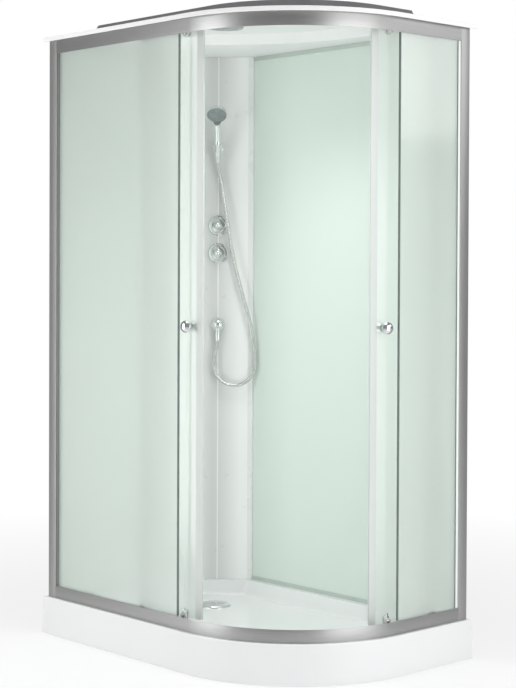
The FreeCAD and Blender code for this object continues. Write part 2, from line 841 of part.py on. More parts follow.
def make_door_glass(door):
    """Curved pane with the holes for its four roller brackets and its knob."""
    name = f"{door.name}_door_glass"
    body = new_body(name)
    sketch = new_sketch(body, height=cell("door_bottom"))
    door.band(sketch, glass_inner, glass_outer, -cell("door_trail"), cell("door_lead"))
    pad(body, sketch, cell("door_top") - cell("door_bottom"))
    holes = []
    levels = (
        cell("bottom_axle") + cell("bottom_bracket_drop"),
        cell("top_axle") - cell("top_bracket_drop"),
    )
    for height in levels:
        for sign in (1, -1):
            holes.append((roller_cosine, sign * roller_sine, height, 5.3))
    holes.append((cosine(cell("knob_angle")), sine(cell("knob_angle")), cell("knob_height"), 6.3))
    tools = []
    for cosine_value, sine_value, height, radius in holes:
        tool = doc.addObject("Part::Cylinder", f"{name}_hole")
        tool.Height = 40
        tool.Radius = radius
        side = door.lead * sine_value
        start = glass_inner - 20
        across = FreeCAD.Rotation(Z_AXIS, math.degrees(math.atan2(side.number, cosine_value.number)))
        bind_place(tool, start * cosine_value, start * side, height,
                   across.multiply(FreeCAD.Rotation(Y_AXIS, 90)))
        tools.append(tool)
    drills = doc.addObject("Part::Compound", f"{name}_holes")
    drills.Links = tools
    pane = doc.addObject("Part::Cut", f"{name}_pane")
    pane.Base = body
    pane.Tool = drills
    door.place(pane)
    body.Label = f"{name}_blank"
    keep(pane, name)


def make_door_seal(door):
    """Magnetic strip on the leading edge, clipped over the glass with two lips."""
    name = f"{door.name}_door_seal"
    body = new_body(name)
    strip = new_sketch(body, height=cell("door_bottom"))
    door.band(strip, glass_inner - 2, glass_outer + 2, cell("seal_lip"), cell("seal_lead"))
    pad(body, strip, cell("door_top") - cell("door_bottom"))
    slot = new_sketch(body, height=cell("door_top") + 1)
    door.band(slot, glass_inner - 0.1, glass_outer + 0.1, cell("seal_lip") - 1, cell("door_lead") + 0.03)
    pocket(body, slot, cell("door_top") - cell("door_bottom") + 2)
    door.place(body)
    keep(body, name)


def make_rollers(door):
    """Four brackets, each an outer plate with an axle and an inner cap on a screw through
    the glass, and the four wheels on the axles."""
    plate_at = glass_outer + 0.3
    wheel_at = plate_at + 4
    around = cell("bracket_radius")
    brackets = []
    levels = (
        ("bottom", cell("bottom_axle"), cell("bottom_bracket_drop"), 1),
        ("top", cell("top_axle"), cell("top_bracket_drop"), -1),
    )
    for level, axle, drop, up in levels:
        for end, sign in (("front", 1), ("rear", -1)):
            item = new_body(f"{door.name}_{level}_{end}_bracket")
            plate = new_sketch(item, "YZ_Plane")
            foot = size(-9 * up)
            head = drop * up
            sag = 2
            draw(plate, [(-around, foot + 4 * up), (4 - around, foot), (around - 4, foot),
                         (around, foot + 4 * up), (around, head), (-around, head)],
                 {4: (0, head - sag * up, root(around * around + sag * sag), up > 0)})
            pad(item, plate, 3)
            if up > 0:
                lever = new_sketch(item, "YZ_Plane")
                middle = -door.lead * 5
                draw(lever, [(middle - 1.5, head), (middle + 1.5, head), (middle + 1.5, head + around + 4),
                             (middle - 1.5, head + around + 4)])
                pad(item, lever, 2)
            stub = cell("wheel_width") + 1.8
            axle_sketch = new_sketch(item, "XZ_Plane")
            axle_radius = cell("axle_radius")
            draw(axle_sketch, [(1, 0), (1, axle_radius), (stub + 3, axle_radius), (stub + 3, 5),
                               (stub + 4.2, 5), (stub + 4.8, 4), (stub + 4.8, 0)])
            revolve(item, axle_sketch, "H_Axis")
            through = cell("glass") + 0.6
            screw = new_sketch(item, "XZ_Plane", up=drop * up)
            draw(screw, [(1, 0), (1, 5), (-through, 5), (-through, 10), (-through - 3, 9), (-through - 4, 5),
                         (-through - 4, 0)])
            revolve(item, screw, "H_Axis")
            door.place(item, roller_cosine, sign * roller_sine, plate_at, axle)
            brackets.append(item)
            wheel = cell("wheel_radius")
            hub = cell("wheel_width")
            roller = turned(f"{door.name}_{level}_{end}_wheel",
                            [(0, axle_radius + 0.05), (hub, axle_radius + 0.05), (hub, 6), (hub - 1, 7),
                             (hub - 1, wheel - 2), (hub, wheel - 1), (hub - 0.8, wheel), (0.8, wheel),
                             (0, wheel - 1)])
            door.place(roller, roller_cosine, sign * roller_sine, wheel_at, axle)
            keep(roller, f"{door.name}_{level}_{end}_wheel")
    group(f"{door.name}_roller_brackets", brackets)


def make_knob(door):
    """Domed knob outside and a smaller one inside, joined by a stud through the glass."""
    radius = cell("knob_radius")
    reach = 34
    collar = 25
    outer = [(-2.4, 0), (-2.4, 5.6), (0.2, 5.6), (0.2, 11), (2, 11), (3.2, 7), (15, 7), (17, radius - 1.5),
             (19, radius), (collar, radius), (reach, 0)]
    knob = turned(f"{door.name}_door_knob", outer, {9: dome_arc(collar, radius, reach)})
    place = (cosine(cell("knob_angle")), sine(cell("knob_angle")))
    door.place(knob, *place, glass_outer, cell("knob_height"))
    keep(knob, f"{door.name}_door_knob")
    inner = [(2.4, 0), (2.4, 5.6), (-0.3, 5.6), (-0.3, 11), (-2, 11), (-3.2, 7), (-15, 7),
             (-17, radius - 3.5), (-19, radius - 2), (-collar, radius - 2),
             (2 - reach, radius - 8), (1 - reach, 0)]
    grip = turned(f"{door.name}_inner_knob", inner)
    door.place(grip, *place, glass_inner, cell("knob_height"))
    keep(grip, f"{door.name}_inner_knob")


def make_stops():
    """Rubber buffers on both tracks, behind the rear wheels of the open doors."""
    stops = []
    gap = cell("wheel_radius") + 3
    inset = cell("rail_inset") + cell("wheel_line")
    sides = ((on_left_side, cell("left_roller_middle")), (on_right_side, cell("right_roller_middle")))
    bottom = rim + cell("bottom_track") + 0.1
    top = frame_top - cell("top_rail_rise") + cell("top_track") - 0.1
    for place, middle in sides:
        far = middle - half_chord - gap
        for low in (bottom, top - 14):
            stops.append(side_strip(f"stop_{len(stops) + 1}", place, far - 12, far, inset - 7, inset + 7,
                                    low, low + 14))
    group("door_stops", stops)


# ------------------------------------------------------------------------------- roof

def dome_outline(sketch, moved_in):
    """The raised part of the roof: parallel to the front, with one wide arc at the back."""
    front = cell("dome_inset") + moved_in
    back_x = cell("dome_back_along_length") - length / 2
    back_y = width / 2 - cell("dome_back_along_width")
    radius = cell("dome_back_radius") - moved_in
    y0 = front - width / 2
    x1 = length / 2 - front
    left = back_x - root(radius * radius - (y0 - back_y) * (y0 - back_y))
    upper = back_y + root(radius * radius - (x1 - back_x) * (x1 - back_x))
    draw(sketch, [(left, y0), (arc_x, y0), (x1, arc_y), (x1, upper)],
         {1: (arc_x, arc_y, corner - front, True), 3: (back_x, back_y, radius, True)})


def make_roof():
    """Moulded roof: a flange over the whole enclosure with a lip along the glazed sides, a
    raised crowned middle and the matching recess under it."""
    body = new_body("roof")
    flange = cell("roof_flange")
    rise = cell("dome_rise")
    top = frame_top + flange
    plate = new_sketch(body, height=frame_top)
    quadrant(plate, 0)
    pad(body, plate, flange)
    lip = cell("roof_lip_width")
    left, right = -length / 2, length / 2
    front, back = -width / 2, width / 2
    lip_bottom = frame_top - cell("roof_lip")
    edge = new_sketch(body, height=lip_bottom)
    draw(edge, [(left, front), (arc_x, front), (right, arc_y), (right, back), (right - lip, back),
                (right - lip, arc_y), (arc_x, front + lip), (left, front + lip)],
         {1: (arc_x, arc_y, corner, True), 5: (arc_x, arc_y, corner - lip, False)})
    pad(body, edge, cell("roof_lip"))
    levels = ((top, 0), (top + rise, 14), (top + rise + cell("dome_crown"), 130))
    for (low, near), (high, far) in zip(levels, levels[1:]):
        lower = new_sketch(body, height=low)
        dome_outline(lower, near)
        upper = new_sketch(body, height=high)
        dome_outline(upper, far)
        loft(body, lower, upper)
    mouth = new_sketch(body, height=frame_top)
    dome_outline(mouth, 7)
    ceiling = new_sketch(body, height=top + rise - 9)
    dome_outline(ceiling, 20)
    loft(body, mouth, ceiling, subtract=True)

    def is_flange_edge(edge):
        box = edge.BoundBox
        flat = box.ZMax - box.ZMin < 0.01
        at_top = abs(box.ZMin - top.number) < 0.01
        at_lip = abs(box.ZMin - lip_bottom.number) < 0.01 and edge.Length > 100
        outside = box.YMin < -399.9 or box.XMax > 599.9 or box.XMin < -599.9 or box.YMax > 399.9
        return flat and outside and (at_top or at_lip)

    round_edges(body, 3, is_flange_edge)
    keep(body, "roof")

    ceiling_height = top + rise - 9
    radius = cell("vent_radius")
    vent = turned(
        "roof_vent",
        [(0, -7), (radius - 16, -7), (radius - 14, -9), (radius - 3, -9), (radius, -6), (radius, 0), (0, 0)],
        role="XZ_Plane", axis="V_Axis",
    )
    slot = new_sketch(vent, height=-12)
    draw(slot, [(12, -2), (radius - 20, -2), (radius - 20, 2), (12, 2)])
    cut = pocket(vent, slot, 8, upward=True)
    ring = vent.newObject("PartDesign::PolarPattern", "vent_slots")
    ring.Originals = [cut]
    vertical = next(f for f in vent.Origin.OriginFeatures if f.Role == "Z_Axis")
    ring.Axis = (vertical, [""])
    ring.Angle = 360
    ring.Occurrences = 12
    vent.Tip = ring
    bind_place(vent, cell("vent_along_length") - length / 2, width / 2 - cell("vent_along_width"),
               ceiling_height)
    keep(vent, "roof_vent")

    screws = []
    head = [(0, 0), (6, 0), (5.2, 1.6), (3, 2.8), (0, 3.2)]
    places = [(-540, 370), (0, 370), (470, 370), (-580, 0), (-540, -370), (100, -370), (570, 100)]
    for x, y in places:
        screw = turned(f"roof_screw_{len(screws) + 1}", head, role="XZ_Plane", axis="V_Axis")
        bind_place(screw, x, y, top + 0.05)
        screws.append(screw)
    group("roof_screws", screws)


# --------------------------------------------------------------- fittings on the column

def make_valve():
    """Mixer body behind the panel with its two inlets, its cartridge necks and the pipe
    down to the hose outlet."""
    back = -34
    low = cell("lower_control")
    high = cell("upper_control")
    foot = low - 40
    body = new_body("mixer_body")
    barrel = new_sketch(body, height=foot)
    draw_circle(barrel, back, 0, 19)
    pad(body, barrel, high + 28 - foot)
    for height in (low, high):
        neck = new_sketch(body, "XZ_Plane", up=height)
        draw(neck, [(back, 0), (back, 16), (-4, 16), (-4, 13), (6, 13), (6, 4.5), (18, 4.5), (18, 0)])
        revolve(body, neck, "H_Axis")
    stubs = new_sketch(body, "XZ_Plane", height=-48)
    draw_circle(stubs, back, low - 22, 10.4)
    pad(body, stubs, 96)
    on_column(body, along=cell("fitting_line"))
    keep(body, "mixer_body")

    pipe = new_body("outlet_pipe")
    bend = 24
    outlet = cell("outlet_height")
    path = new_sketch(pipe, "XZ_Plane")
    points = [(size(back), foot - 0.1), (size(back), outlet + bend), (size(back + bend), outlet),
              (size(-4.2), outlet)]
    vectors = [FreeCAD.Vector(x.number, y.number, 0) for x, y in points]
    centre = FreeCAD.Vector(back + bend, outlet.number + bend, 0)
    path.addGeometry(Part.LineSegment(vectors[0], vectors[1]), False)
    circle = Part.Circle(centre, Z_AXIS, bend)
    path.addGeometry(Part.ArcOfCircle(circle, math.pi, 1.5 * math.pi), False)
    path.addGeometry(Part.LineSegment(vectors[2], vectors[3]), False)
    path.addConstraint(Sketcher.Constraint("Coincident", 0, 2, 1, 1))
    path.addConstraint(Sketcher.Constraint("Coincident", 1, 2, 2, 1))
    for (geometry, end), (x, y) in zip(((0, 1), (0, 2), (2, 1), (2, 2)), points):
        for kind, value in (("DistanceX", x), ("DistanceY", y)):
            rule = Sketcher.Constraint(kind, -1, 1, geometry, end, value.number)
            bind(path, f"Constraints[{path.addConstraint(rule)}]", value)
    path.addConstraint(Sketcher.Constraint("Radius", 1, float(bend)))
    section = new_sketch(pipe, height=foot - 0.1)
    draw_circle(section, back, 0, 7)
    sweep = pipe.newObject("PartDesign::AdditivePipe", "outlet_bend")
    sweep.Profile = section
    doc.recompute()
    sweep.Spine = (path, ["Edge1", "Edge2", "Edge3"])
    on_column(pipe, along=cell("fitting_line"))
    keep(pipe, "outlet_pipe")


def make_controls():
    """Each control is a round chrome plate with a turning knob in front of it."""
    radius = cell("control_radius")
    for name, height in (("diverter", cell("upper_control")), ("temperature", cell("lower_control"))):
        plate = turned(f"{name}_plate", [(1.5, 13.5), (1.5, radius), (4, radius), (7, radius - 4),
                                         (7.5, radius - 9), (7.5, 13.5)])
        on_column(plate, 0, height, cell("fitting_line"))
        keep(plate, f"{name}_plate")
        knob = turned(
            f"{name}_knob",
            [(8.3, 4.6), (8.3, 26), (12, 27.5), (20, 25.5), (24, 22), (25.5, 14), (30, 12.5), (36, 12.5),
             (44.5, 0), (19, 0), (19, 4.6)],
            {7: dome_arc(36, 12.5, 44.5)},
        )
        on_column(knob, 0, height, cell("fitting_line"))
        keep(knob, f"{name}_knob")


def make_outlet():
    """Domed hose outlet with a threaded nozzle that points down, and the hose's nut."""
    radius = cell("outlet_radius")
    outlet = turned(
        "hose_outlet",
        [(-4, 0), (-4, 8), (1.5, 8), (1.5, radius - 1), (2, radius), (5, radius), (31, 0)],
        {5: dome_arc(5, radius, 31)},
    )
    nozzle = new_sketch(outlet, height=-33)
    draw_circle(nozzle, 19, 0, 8)
    pad(outlet, nozzle, 33)
    on_column(outlet, 0, cell("outlet_height"), cell("fitting_line"))
    keep(outlet, "hose_outlet")
    radius = cell("hose_radius")
    nut = turned("hose_nut", [(radius + 0.3, -24), (radius + 2, -24), (10.5, -6), (10.5, -0.3), (0, -0.3),
                              (0, -3), (radius + 0.3, -3)], role="XZ_Plane", axis="V_Axis")
    on_column(nut, 19, cell("outlet_height") - 33, cell("fitting_line"))
    keep(nut, "hose_nut")


def make_holder():
    """Bracket on the column: a round foot, a short arm and a split conical socket."""
    tilt = FreeCAD.Rotation(Y_AXIS, SIZES["handset_tilt"])
    reach = cell("holder_reach")
    holder = new_body("handset_holder")
    foot = new_sketch(holder, "XZ_Plane")
    draw(foot, [(1.5, 0), (1.5, 19), (5, 19), (8, 14), (12, 8.5), (reach - 15, 8.5), (reach - 15, 0)])
    revolve(holder, foot, "H_Axis")
    half = 13
    socket = new_sketch(holder, "XZ_Plane", across=reach, turn=-SIZES["handset_tilt"])
    draw(socket, [(11.2, -half), (15.2, -half), (18.4, half), (13.6, half)])
    revolve(holder, socket, "V_Axis")
    gap = new_sketch(holder, "YZ_Plane", height=reach + 40)
    draw(gap, [(-7, -30), (7, -30), (7, 30), (-7, 30)])
    pocket(holder, gap, 38)
    on_column(holder, 0, cell("holder_height"), cell("fitting_line"))
    keep(holder, "handset_holder")
    return tilt


def make_handset(tilt):
    """Hand shower: a tapered handle whose lower end sits in the holder's cone, a tilted
    round head with its nozzle plate, and the collar that takes the hose."""
    reach = cell("holder_reach")
    height = cell("holder_height")
    head = cell("head_radius")
    handset = new_body("handset")
    grip = new_sketch(handset, "XZ_Plane")
    draw(grip, [(0, -15), (10.7, -15), (13.4, 14), (11, 22), (12, 60), (14.5, 100), (13, 132), (0, 138)])
    revolve(handset, grip, "V_Axis")
    turn = -SIZES["head_turn"]
    shell = new_sketch(handset, "XZ_Plane", across=4, up=128, turn=turn)
    draw(shell, [(-16, 0), (-13, 15), (-4, head - 8), (6, head), (14, head), (14, head - 3),
                 (11, head - 3), (11, 0)])
    revolve(handset, shell, "H_Axis")
    front = new_sketch(handset, "XZ_Plane", across=4, up=128, turn=turn)
    draw(front, [(11, 0), (40, 0), (40, head - 3), (11, head - 3)])
    seat = handset.newObject("PartDesign::Groove", "plate_seat")
    seat.Profile = front
    seat.ReferenceAxis = (front, ["H_Axis"])
    seat.Angle = 360
    on_column(handset, reach, height, cell("fitting_line"), tilt)
    keep(handset, "handset")

    face = new_body("nozzle_plate")
    disc = new_sketch(face, "XZ_Plane", across=4, up=128, turn=turn)
    outline = [(11.1, 0), (11.1, head - 3.2), (14, head - 3.2), (15, head - 6)]
    for radius in (26, 18, 10):
        outline += [(15, radius + 2), (14.2, radius + 1), (14.2, radius - 1), (15, radius - 2)]
    draw(disc, outline + [(15.6, 0)])
    revolve(face, disc, "H_Axis")
    on_column(face, reach, height, cell("fitting_line"), tilt)
    keep(face, "nozzle_plate")

    bore = cell("hose_radius") + 0.3
    collar = turned("handset_collar", [(0, -15.3), (10.5, -15.3), (10.5, -30), (bore + 1.6, -54), (bore, -54),
                                       (bore, -20), (0, -20)], role="XZ_Plane", axis="V_Axis")
    on_column(collar, reach, height, cell("fitting_line"), tilt)
    keep(collar, "handset_collar")


# Route of the hose in the column's frame: distance out of the panel, distance along it
# to the right, and height. It leaves the collar along the handset's axis, hangs to the
# right of the controls, turns in a low loop and comes up to the outlet's nozzle.
HOSE_ROUTE = [
    (39.7, -7, 1635.7),
    (22.8, -7, 1583.7),
    (20.5, 6, 1534),
    (23, 16, 1464),
    (26, 28.5, 1384),
    (26, 42, 1300),
    (26, 60, 1214),
    (26, 82.5, 1130),
    (26, 104, 1056),
    (26, 120, 985),
    (26, 128.5, 914),
    (26, 128.5, 850),
    (25, 84.5, 806),
    (23.5, 22.5, 806),
    (22, -21.5, 851),
    (20.5, -19.5, 914),
    (19, -7, 950),
    (19, -7, 985.3),
]


def rounded_path(route):
    """Straight runs with a tangent arc at every corner, as large as the runs allow."""
    points = [FreeCAD.Vector(*p) for p in route]
    edges = []
    radii = []
    at = points[0]
    for before, here, after in zip(points, points[1:], points[2:]):
        into = here - before
        out = after - here
        turn = into.getAngle(out)
        shorter = min(into.Length, out.Length)
        reach = 0.45 * shorter
        radius = reach / math.tan(turn / 2)
        radii.append(radius)
        into.normalize()
        out.normalize()
        start = here - into * reach
        end = here + out * reach
        bisector = (out - into).normalize()
        middle = here + bisector * (radius / math.cos(turn / 2) - radius)
        edges.append(Part.LineSegment(at, start).toShape())
        edges.append(Part.Arc(start, middle, end).toShape())
        at = end
    edges.append(Part.LineSegment(at, points[-1]).toShape())
    return Part.Wire(edges), radii


def make_hose():
    """Free hose between the handset's collar and the outlet: a plain tube on its route."""
    path, radii = rounded_path(HOSE_ROUTE)
    radius = SIZES["hose_radius"]
    start = FreeCAD.Vector(*HOSE_ROUTE[0])
    along = FreeCAD.Vector(*HOSE_ROUTE[1]) - start
    ring = Part.Wire([Part.Circle(start, along, radius).toShape()])
    tube = path.makePipeShell([ring], True, False)
    expected = math.pi * radius * radius * path.Length
    print(f"hose length {path.Length:.1f} mm, volume ratio {tube.Volume / expected:.4f}")
    print("hose radii", " ".join(f"{r:.0f}" for r in radii))
    feature = doc.addObject("Part::Feature", "hose")
    feature.Shape = tube
    on_column(feature)
    keep(feature, "hose")


make_tray()
make_support()
make_waste()
make_walls()
make_column()
make_rails()
make_fixed_sides()
for door in (left_door, right_door):
    make_door_glass(door)
    make_door_seal(door)
    make_rollers(door)
    make_knob(door)
make_stops()
make_roof()
make_valve()
make_controls()
make_outlet()
make_handset(make_holder())
make_hose()
doc.recompute()

problems = []
for item in doc.Objects:
    if {"Invalid", "Error"} & set(item.State):
        problems.append(f"{item.Label}: {item.State}")
for item in NODES:
    if item.Shape.isNull() or not item.Shape.isValid():
        problems.append(f"{item.Label}: shape is null or not valid")
if problems:
    raise RuntimeError("; ".join(problems))
os.makedirs("parts", exist_ok=True)
for item in NODES:
    item.Shape.exportStep(f"parts/{item.Label}.step")
print(f"{len(NODES)} parts written")
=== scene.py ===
import json
import math

import bpy
from mathutils import Matrix, Vector


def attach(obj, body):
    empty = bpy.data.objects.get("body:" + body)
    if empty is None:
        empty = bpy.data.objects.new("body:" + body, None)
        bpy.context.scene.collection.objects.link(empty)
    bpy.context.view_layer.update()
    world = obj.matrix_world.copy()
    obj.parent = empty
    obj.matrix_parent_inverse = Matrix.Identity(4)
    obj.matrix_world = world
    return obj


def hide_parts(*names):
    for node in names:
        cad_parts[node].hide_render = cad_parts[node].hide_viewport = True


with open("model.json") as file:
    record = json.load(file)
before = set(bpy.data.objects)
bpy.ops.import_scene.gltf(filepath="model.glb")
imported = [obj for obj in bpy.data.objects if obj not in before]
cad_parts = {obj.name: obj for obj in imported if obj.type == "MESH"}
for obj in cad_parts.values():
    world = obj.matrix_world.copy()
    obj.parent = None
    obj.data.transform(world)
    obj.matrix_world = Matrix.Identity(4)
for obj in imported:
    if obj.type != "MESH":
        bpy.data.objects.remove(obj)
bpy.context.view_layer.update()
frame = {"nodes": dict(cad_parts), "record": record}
nodes = frame["nodes"]

# Places are in metres in the row's frame: origin on the floor under the middle of the
# tray, +Z up, the long wall at +Y, the short wall at -X, the doors at the +X, -Y corner.

# ------------------------------------------------------------------------------ camera

# Fitted to the photo's straight lines: angles in radians, lens and sensor in
# millimetres, shifts in sensor widths.
YAW = -0.8226
PITCH = 0.0162
ROLL = 0.004
CAMERA_PLACE = (3.8471, -3.5030, 1.2266)
LENS = 83.95
SENSOR = 36
SHIFT_X = -0.01356
SHIFT_Y = -0.07265

level_right = Vector((math.cos(YAW), -math.sin(YAW), 0))
forward = Vector((math.sin(YAW) * math.cos(PITCH),
                  math.cos(YAW) * math.cos(PITCH),
                  -math.sin(PITCH)))
level_up = level_right.cross(forward)
right = level_right * math.cos(ROLL) + level_up * math.sin(ROLL)
up = level_up * math.cos(ROLL) - level_right * math.sin(ROLL)

camera_data = bpy.data.cameras.new("camera")
camera_data.sensor_fit = "AUTO"
camera_data.sensor_width = SENSOR
camera_data.lens = LENS
camera_data.shift_x = SHIFT_X
camera_data.shift_y = SHIFT_Y
camera_data.clip_start = 0.1
camera_data.clip_end = 60
camera = bpy.data.objects.new("camera", camera_data)
bpy.context.scene.collection.objects.link(camera)
turn = Matrix((right, up, -forward)).transposed().to_4x4()
camera.matrix_world = Matrix.Translation(CAMERA_PLACE) @ turn
bpy.context.scene.camera = camera

# -------------------------------------------------------------------------------- hose

HOSE_RADIUS = 0.0065
# In the column's frame: out of the panel, along it to the right, and height, in mm.
HOSE_ROUTE = [
    (19, -7, 985.3),
    (19, -7, 950),
    (20.5, -19.5, 914),
    (22, -21.5, 851),
    (23.5, 22.5, 806),
    (25, 84.5, 806),
    (26, 128.5, 850),
    (26, 128.5, 914),
    (26, 120, 985),
    (26, 104, 1056),
    (26, 82.5, 1130),
    (26, 60, 1214),
    (26, 42, 1300),
    (26, 28.5, 1384),
    (23, 16, 1464),
    (20.5, 6, 1534),
    (22.8, -7, 1583.7),
    (39.7, -7, 1635.7),
]
COLUMN_OUT = Vector((math.sqrt(0.5), -math.sqrt(0.5), 0))
COLUMN_ALONG = Vector((math.sqrt(0.5), math.sqrt(0.5), 0))
COLUMN_MIDDLE = Vector((-0.4985, 0.2985, 0))


def column_point(out, along, height):
    """A place on the column, from millimetres out of it, along it and above the floor."""
    aside = COLUMN_MIDDLE + COLUMN_OUT * out / 1000 + COLUMN_ALONG * along / 1000
    return aside + Vector((0, 0, height / 1000))


hose_curve = bpy.data.curves.new("shower_hose", "CURVE")
hose_curve.dimensions = "3D"
# The radius is on the points, because the box round a curve counts theirs.
hose_curve.bevel_depth = 1
hose_curve.bevel_resolution = 6
hose_curve.resolution_u = 12
spline = hose_curve.splines.new("NURBS")
spline.points.add(len(HOSE_ROUTE) - 1)
for point, place in zip(spline.points, HOSE_ROUTE):
    point.co = (*column_point(*place), 1)
    point.radius = HOSE_RADIUS
spline.order_u = 3
spline.use_endpoint_u = True
hose = bpy.data.objects.new("shower_hose", hose_curve)
bpy.context.scene.collection.objects.link(hose)
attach(hose, "enclosure")
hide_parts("hose")


# ------------------------------------------------------------------------ node graphs

class Graph:
    """A node tree, with short calls to add and join its nodes."""

    def __init__(self, tree):
        self.tree = tree
        self.tree.nodes.clear()

    def add(self, kind, **settings):
        """A new node, with settings of its own."""
        node = self.tree.nodes.new(kind)
        for key, value in settings.items():
            setattr(node, key, value)
        return node

    def put(self, value, target):
        """Joins another node's output to a socket, or sets the socket to a value."""
        if isinstance(value, bpy.types.NodeSocket):
            self.tree.links.new(value, target)
        else:
            target.default_value = value

    def combine(self, operation, first, second):
        """One number from two, such as their product or the larger one."""
        node = self.add("ShaderNodeMath", operation=operation)
        self.put(first, node.inputs[0])
        self.put(second, node.inputs[1])
        return node.outputs[0]

    def dot(self, vector, way):
        """How far a vector goes along a fixed way."""
        node = self.add("ShaderNodeVectorMath", operation="DOT_PRODUCT")
        self.put(vector, node.inputs[0])
        self.put(way, node.inputs[1])
        return node.outputs["Value"]

    def length(self, vector):
        node = self.add("ShaderNodeVectorMath", operation="LENGTH")
        self.put(vector, node.inputs[0])
        return node.outputs["Value"]

    def part(self, vector, axis):
        """One coordinate of a vector."""
        node = self.add("ShaderNodeSeparateXYZ")
        self.put(vector, node.inputs["Vector"])
        return node.outputs[axis]

    def spread(self, value, low, high, start=0.3, end=0.7):
        """A value from low to high, while another goes from start to end. The usual
        start and end are those of noise, which seldom leaves them."""
        node = self.add("ShaderNodeMapRange")
        self.put(start, node.inputs["From Min"])
        self.put(end, node.inputs["From Max"])
        self.put(low, node.inputs["To Min"])
        self.put(high, node.inputs["To Max"])
        self.put(value, node.inputs["Value"])
        return node.outputs["Result"]

    def ramp(self, value, stops):
        """A colour by a value, through stops of a place and its colour."""
        node = self.add("ShaderNodeValToRGB")
        marks = node.color_ramp.elements
        for number, (place, color) in enumerate(stops):
            mark = marks[number] if number < len(marks) else marks.new(1.0)
            mark.position = place
            mark.color = (*color, 1)
        self.put(value, node.inputs["Fac"])
        return node.outputs["Color"]

    def blend(self, value, low, high, start=0.3, end=0.7):
        """A colour between two, by a value."""
        return self.ramp(value, ((start, low), (end, high)))

    def mix(self, factor, first, second, kind="MIX"):
        """Two colours mixed by a factor."""
        node = self.add("ShaderNodeMix", data_type="RGBA", blend_type=kind)
        self.put(factor, node.inputs["Factor"])
        self.put(first, node.inputs["A"])
        self.put(second, node.inputs["B"])
        return node.outputs["Result"]

    def multiply(self, first, second):
        return self.mix(1, first, second, "MULTIPLY")

    def mix_shaders(self, factor, first, second):
        node = self.add("ShaderNodeMixShader")
        self.put(factor, node.inputs["Fac"])
        self.put(first, node.inputs[1])
        self.put(second, node.inputs[2])
        return node.outputs["Shader"]


class Look(Graph):
    """A material, whose patterns lie in the object's own frame."""

    def __init__(self, name):
        self.material = bpy.data.materials.new(name)
        self.material.use_nodes = True
        super().__init__(self.material.node_tree)
        self.output = self.add("ShaderNodeOutputMaterial")
        self.place = self.add("ShaderNodeTexCoord").outputs["Object"]

    def noise(self, scale, stretch=(1, 1, 1), detail=3.0):
        """Noise of about this many spots a metre, from 0 to 1."""
        mapping = self.add("ShaderNodeMapping")
        self.put(stretch, mapping.inputs["Scale"])
        self.put(self.place, mapping.inputs["Vector"])
        node = self.add("ShaderNodeTexNoise")
        self.put(scale, node.inputs["Scale"])
        self.put(detail, node.inputs["Detail"])
        self.put(mapping.outputs["Vector"], node.inputs["Vector"])
        return node.outputs["Fac"]

    def bump(self, value, strength, distance):
        node = self.add("ShaderNodeBump")
        self.put(strength, node.inputs["Strength"])
        self.put(distance, node.inputs["Distance"])
        self.put(value, node.inputs["Height"])
        return node.outputs["Normal"]

    def surface(self, color, roughness, normal=None, **others):
        """The main shader. Others are its further sockets, with _ for each space."""
        shader = self.add("ShaderNodeBsdfPrincipled")
        self.put(color, shader.inputs["Base Color"])
        self.put(roughness, shader.inputs["Roughness"])
        if normal is not None:
            self.put(normal, shader.inputs["Normal"])
        for key, value in others.items():
            self.put(value, shader.inputs[key.replace("_", " ")])
        return shader.outputs["BSDF"]

    def finish(self, shader):
        self.put(shader, self.output.inputs["Surface"])
        return self.material


# --------------------------------------------------------------------------- materials

# Bumps are in metres.
FINE_BUMP = 0.0002
COARSE_BUMP = 0.0004
# Grain drawn out along the height of a seal.
UPRIGHT_GRAIN = (1, 1, 0.05)


def acrylic():
    look = Look("moulded_acrylic")
    tone = look.blend(look.noise(2.2), (0.80, 0.808, 0.812), (0.81, 0.818, 0.822), 0.2, 0.8)
    dull = look.spread(look.noise(8), 0.2, 0.23, 0.1, 0.9)
    skin = look.bump(look.noise(300, detail=2), 0.02, FINE_BUMP)
    return look.finish(look.surface(tone, dull, skin, Coat_Weight=0.3, Coat_Roughness=0.08))


# The height just above the flange, and the least upward part of an outside face's
# normal: the upright sides count as outside.
ROOF_RAISED_ABOVE = 1.9928
ROOF_OUTSIDE_LEAN = -0.05


def roof_acrylic():
    """White moulding whose raised outside, above the flange, is coloured dark grey."""
    look = Look("roof_moulding")
    white = look.blend(look.noise(2.2), (0.892, 0.89, 0.89), (0.90, 0.898, 0.898), 0.2, 0.8)
    grey = look.blend(look.noise(14), (0.15, 0.15, 0.155), (0.19, 0.19, 0.195), 0.2, 0.8)
    facing = look.part(look.add("ShaderNodeNewGeometry").outputs["Normal"], "Z")
    outside = look.combine("GREATER_THAN", facing, ROOF_OUTSIDE_LEAN)
    raised = look.combine("GREATER_THAN", look.part(look.place, "Z"), ROOF_RAISED_ABOVE)
    tone = look.mix(look.combine("MULTIPLY", outside, raised), white, grey)
    dull = look.spread(look.noise(6), 0.50, 0.54, 0.1, 0.9)
    return look.finish(look.surface(tone, dull, IOR=1.2))


DRAWN_LINES = 900
DRAWN_BANDS = 60


